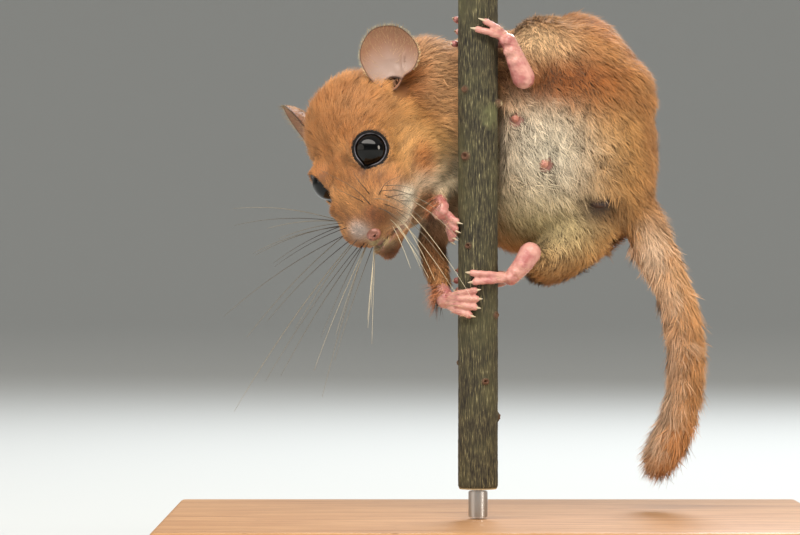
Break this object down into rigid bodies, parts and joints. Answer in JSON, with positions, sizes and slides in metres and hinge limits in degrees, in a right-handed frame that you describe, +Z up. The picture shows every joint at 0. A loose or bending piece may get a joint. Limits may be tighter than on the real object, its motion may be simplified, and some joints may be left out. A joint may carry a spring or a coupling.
{
  "type": "hazel dormouse figure",
  "caption": "Life-size hazel dormouse, tawny and round-bodied, clinging sideways to a short cut length of stem on a plain flat stand, with its tail hanging.",
  "frame": {"origin": "middle of the underside of the stand's base", "axes": "+Z up; -Y faces the viewer of the picture, so +X is to the right in it"},
  "size_m": [0.112, 0.084, 0.1045],
  "materials": {
    "coat": "matt fur",
    "bare_skin": "soft, slightly moist skin",
    "eye": "wet, high gloss",
    "bark": "matt bark",
    "wood": "satin",
    "steel": "satin"
  },
  "bodies": {
    "root": {"torso": "coat", "neck": "coat", "head": "coat", "hindleg_left": "coat", "hindleg_right": "coat", "foreleg_left": "coat", "foreleg_right": "coat", "tail_1": "coat", "tail_2": "coat", "tail_3": "coat", "tail_4": "coat", "ear_left": "bare_skin", "ear_right": "bare_skin", "forepaw_left": "bare_skin", "forepaw_right": "bare_skin", "hindfoot_left": "bare_skin", "hindfoot_right": "bare_skin", "eye_left": "eye", "eye_right": "eye", "perch_stem": "bark", "stand_base": "wood", "stand_rod": "steel"}
  },
  "joints": []
}
